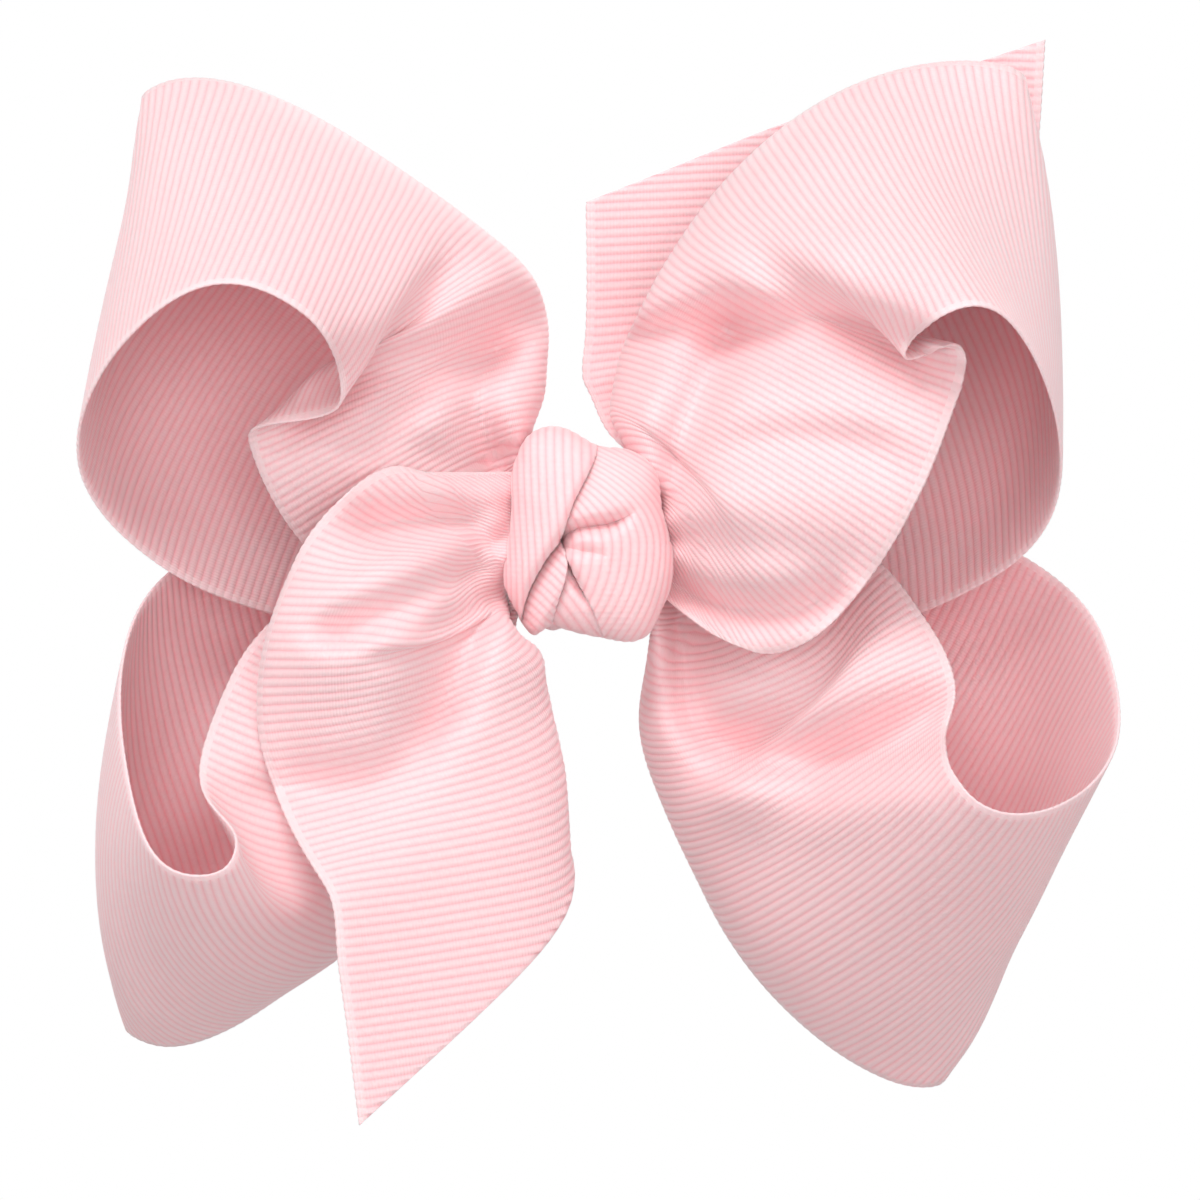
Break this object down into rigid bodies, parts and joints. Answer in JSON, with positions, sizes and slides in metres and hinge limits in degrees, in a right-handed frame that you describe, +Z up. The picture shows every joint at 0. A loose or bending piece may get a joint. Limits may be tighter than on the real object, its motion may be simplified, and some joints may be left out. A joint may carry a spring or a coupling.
{
  "type": "hair bow",
  "caption": "Twisted boutique hair bow of wide ribbed ribbon with open loops, two cut tails and a tied centre knot, mounted on a sprung metal alligator clip.",
  "frame": {"origin": "middle of the clip's grip, on the hair side of the fixed jaw, behind the centre of the bow", "axes": "+Z up along the bow's height, -Y towards the front of the bow, +X to the right as seen from the front, towards the clip's finger tabs"},
  "size_m": [0.1258, 0.0602, 0.1325],
  "materials": {
    "ribbon": "pale pink ribbed grosgrain with a soft sheen",
    "thread": "waxed thread",
    "glue": "cured hot glue",
    "clip_metal": "nickel plated spring steel",
    "pin_metal": "nickel plated",
    "spring_metal": "drawn steel wire"
  },
  "bodies": {
    "bow": {"loop_upper_left": "ribbon", "loop_upper_right": "ribbon", "loop_lower_left": "ribbon", "loop_lower_right": "ribbon", "tail_front": "ribbon", "tail_back": "ribbon", "pleated_core": "ribbon", "binding_thread": "thread", "glue_bead_left": "glue", "glue_bead_right": "glue", "center_knot": "ribbon", "knot_end_upper": "ribbon", "knot_end_lower": "ribbon", "clip_top_jaw": "clip_metal", "clip_pin": "pin_metal", "clip_spring": "spring_metal"},
    "jaw": {"clip_lower_jaw": "clip_metal"}
  },
  "joints": [
    {"name": "jaw_hinge", "type": "hinge", "parent": "bow", "child": "jaw", "pos_m": [0.013, 0.0036, 0], "axis": [0, 0, -1], "range_deg": [0, 34], "stiffness_Nm_per_rad": 0.25, "springref_deg": -28.65, "deforming": ["clip_spring"]}
  ]
}
